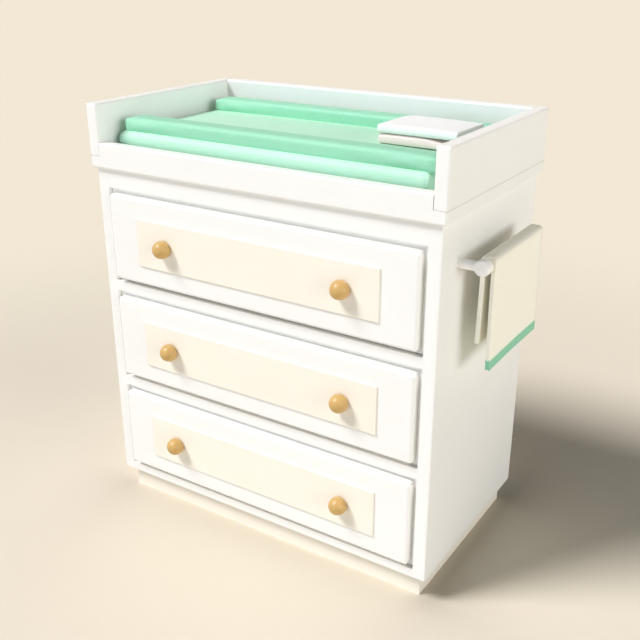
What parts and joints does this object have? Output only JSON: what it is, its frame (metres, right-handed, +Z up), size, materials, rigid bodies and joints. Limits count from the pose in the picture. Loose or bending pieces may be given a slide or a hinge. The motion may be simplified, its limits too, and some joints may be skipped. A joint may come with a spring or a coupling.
{
  "type": "changing dresser",
  "caption": "Painted changing dresser with stacked drawers, a walled changing tray holding a padded mat, and a towel rail on one side.",
  "frame": {"origin": "on the floor, under the middle of the carcass, on the plinth bearer's underside", "axes": "+Z up, -Y to the drawer fronts, +X to the towel rail"},
  "size_m": [0.9804, 0.559, 1.03],
  "materials": {
    "paint_white": "satin white paint",
    "paint_cream": "satin cream paint",
    "drawer_wood": "clear lacquered pale wood",
    "knob_wood": "turned and satin lacquered",
    "slide_steel": "zinc plated",
    "rail_metal": "satin white",
    "pad_fabric": "wipeable woven cover",
    "roll_fabric": "wipeable woven cover",
    "cloth_pink": "soft cotton",
    "cloth_white": "soft cotton",
    "towel_fabric": "terry with a woven band"
  },
  "bodies": {
    "carcass": {"plinth_front": "paint_cream", "plinth_back": "paint_cream", "plinth_left": "paint_cream", "plinth_right": "paint_cream", "plinth_bearer": "paint_cream", "side_left": "paint_white", "side_right": "paint_white", "bottom_panel": "paint_white", "back_panel": "paint_white", "top_stretcher": "paint_white", "rail_top": "paint_white", "rail_upper": "paint_white", "rail_lower": "paint_white", "rail_bottom": "paint_white", "top_board": "paint_white", "tray_left": "paint_white", "tray_right": "paint_white", "tray_back": "paint_white", "tray_rail": "paint_white", "towel_bracket": "rail_metal", "towel_bar": "rail_metal", "slide_rails_top": "slide_steel", "slide_rails_middle": "slide_steel", "slide_rails_bottom": "slide_steel"},
    "drawer_top": {"slide_runners_top": "slide_steel", "front_top": "paint_white", "inlay_top": "paint_cream", "box_left_top": "drawer_wood", "box_right_top": "drawer_wood", "box_back_top": "drawer_wood", "box_bottom_top": "drawer_wood", "knob_left_top": "knob_wood", "knob_right_top": "knob_wood"},
    "drawer_middle": {"slide_runners_middle": "slide_steel", "front_middle": "paint_white", "inlay_middle": "paint_cream", "box_left_middle": "drawer_wood", "box_right_middle": "drawer_wood", "box_back_middle": "drawer_wood", "box_bottom_middle": "drawer_wood", "knob_left_middle": "knob_wood", "knob_right_middle": "knob_wood"},
    "drawer_bottom": {"slide_runners_bottom": "slide_steel", "front_bottom": "paint_white", "inlay_bottom": "paint_cream", "box_left_bottom": "drawer_wood", "box_right_bottom": "drawer_wood", "box_back_bottom": "drawer_wood", "box_bottom_bottom": "drawer_wood", "knob_left_bottom": "knob_wood", "knob_right_bottom": "knob_wood"},
    "pad": {"pad_base": "pad_fabric", "bolster_front": "roll_fabric", "bolster_back": "roll_fabric"},
    "cloth_lower": {"cloth_lower": "cloth_pink"},
    "cloth_upper": {"cloth_upper": "cloth_white"},
    "towel": {"towel": "towel_fabric"}
  },
  "joints": [
    {"name": "drawer_top_slide", "type": "slide", "parent": "carcass", "child": "drawer_top", "axis": [0, -1, 0], "range_m": [0, 0.3]},
    {"name": "drawer_middle_slide", "type": "slide", "parent": "carcass", "child": "drawer_middle", "axis": [0, -1, 0], "range_m": [0, 0.3]},
    {"name": "drawer_bottom_slide", "type": "slide", "parent": "carcass", "child": "drawer_bottom", "axis": [0, -1, 0], "range_m": [0, 0.3]},
    {"name": "pad_lift", "type": "slide", "parent": "carcass", "child": "pad", "axis": [0, 0, 1], "range_m": [0, 0.15]},
    {"name": "cloth_lower_lift", "type": "slide", "parent": "pad", "child": "cloth_lower", "axis": [0, 0, 1], "range_m": [0, 0.1]},
    {"name": "cloth_upper_lift", "type": "slide", "parent": "cloth_lower", "child": "cloth_upper", "axis": [0, 0, 1], "range_m": [0, 0.1]},
    {"name": "towel_lift", "type": "slide", "parent": "carcass", "child": "towel", "axis": [0, 0, 1], "range_m": [0, 0.26]}
  ]
}
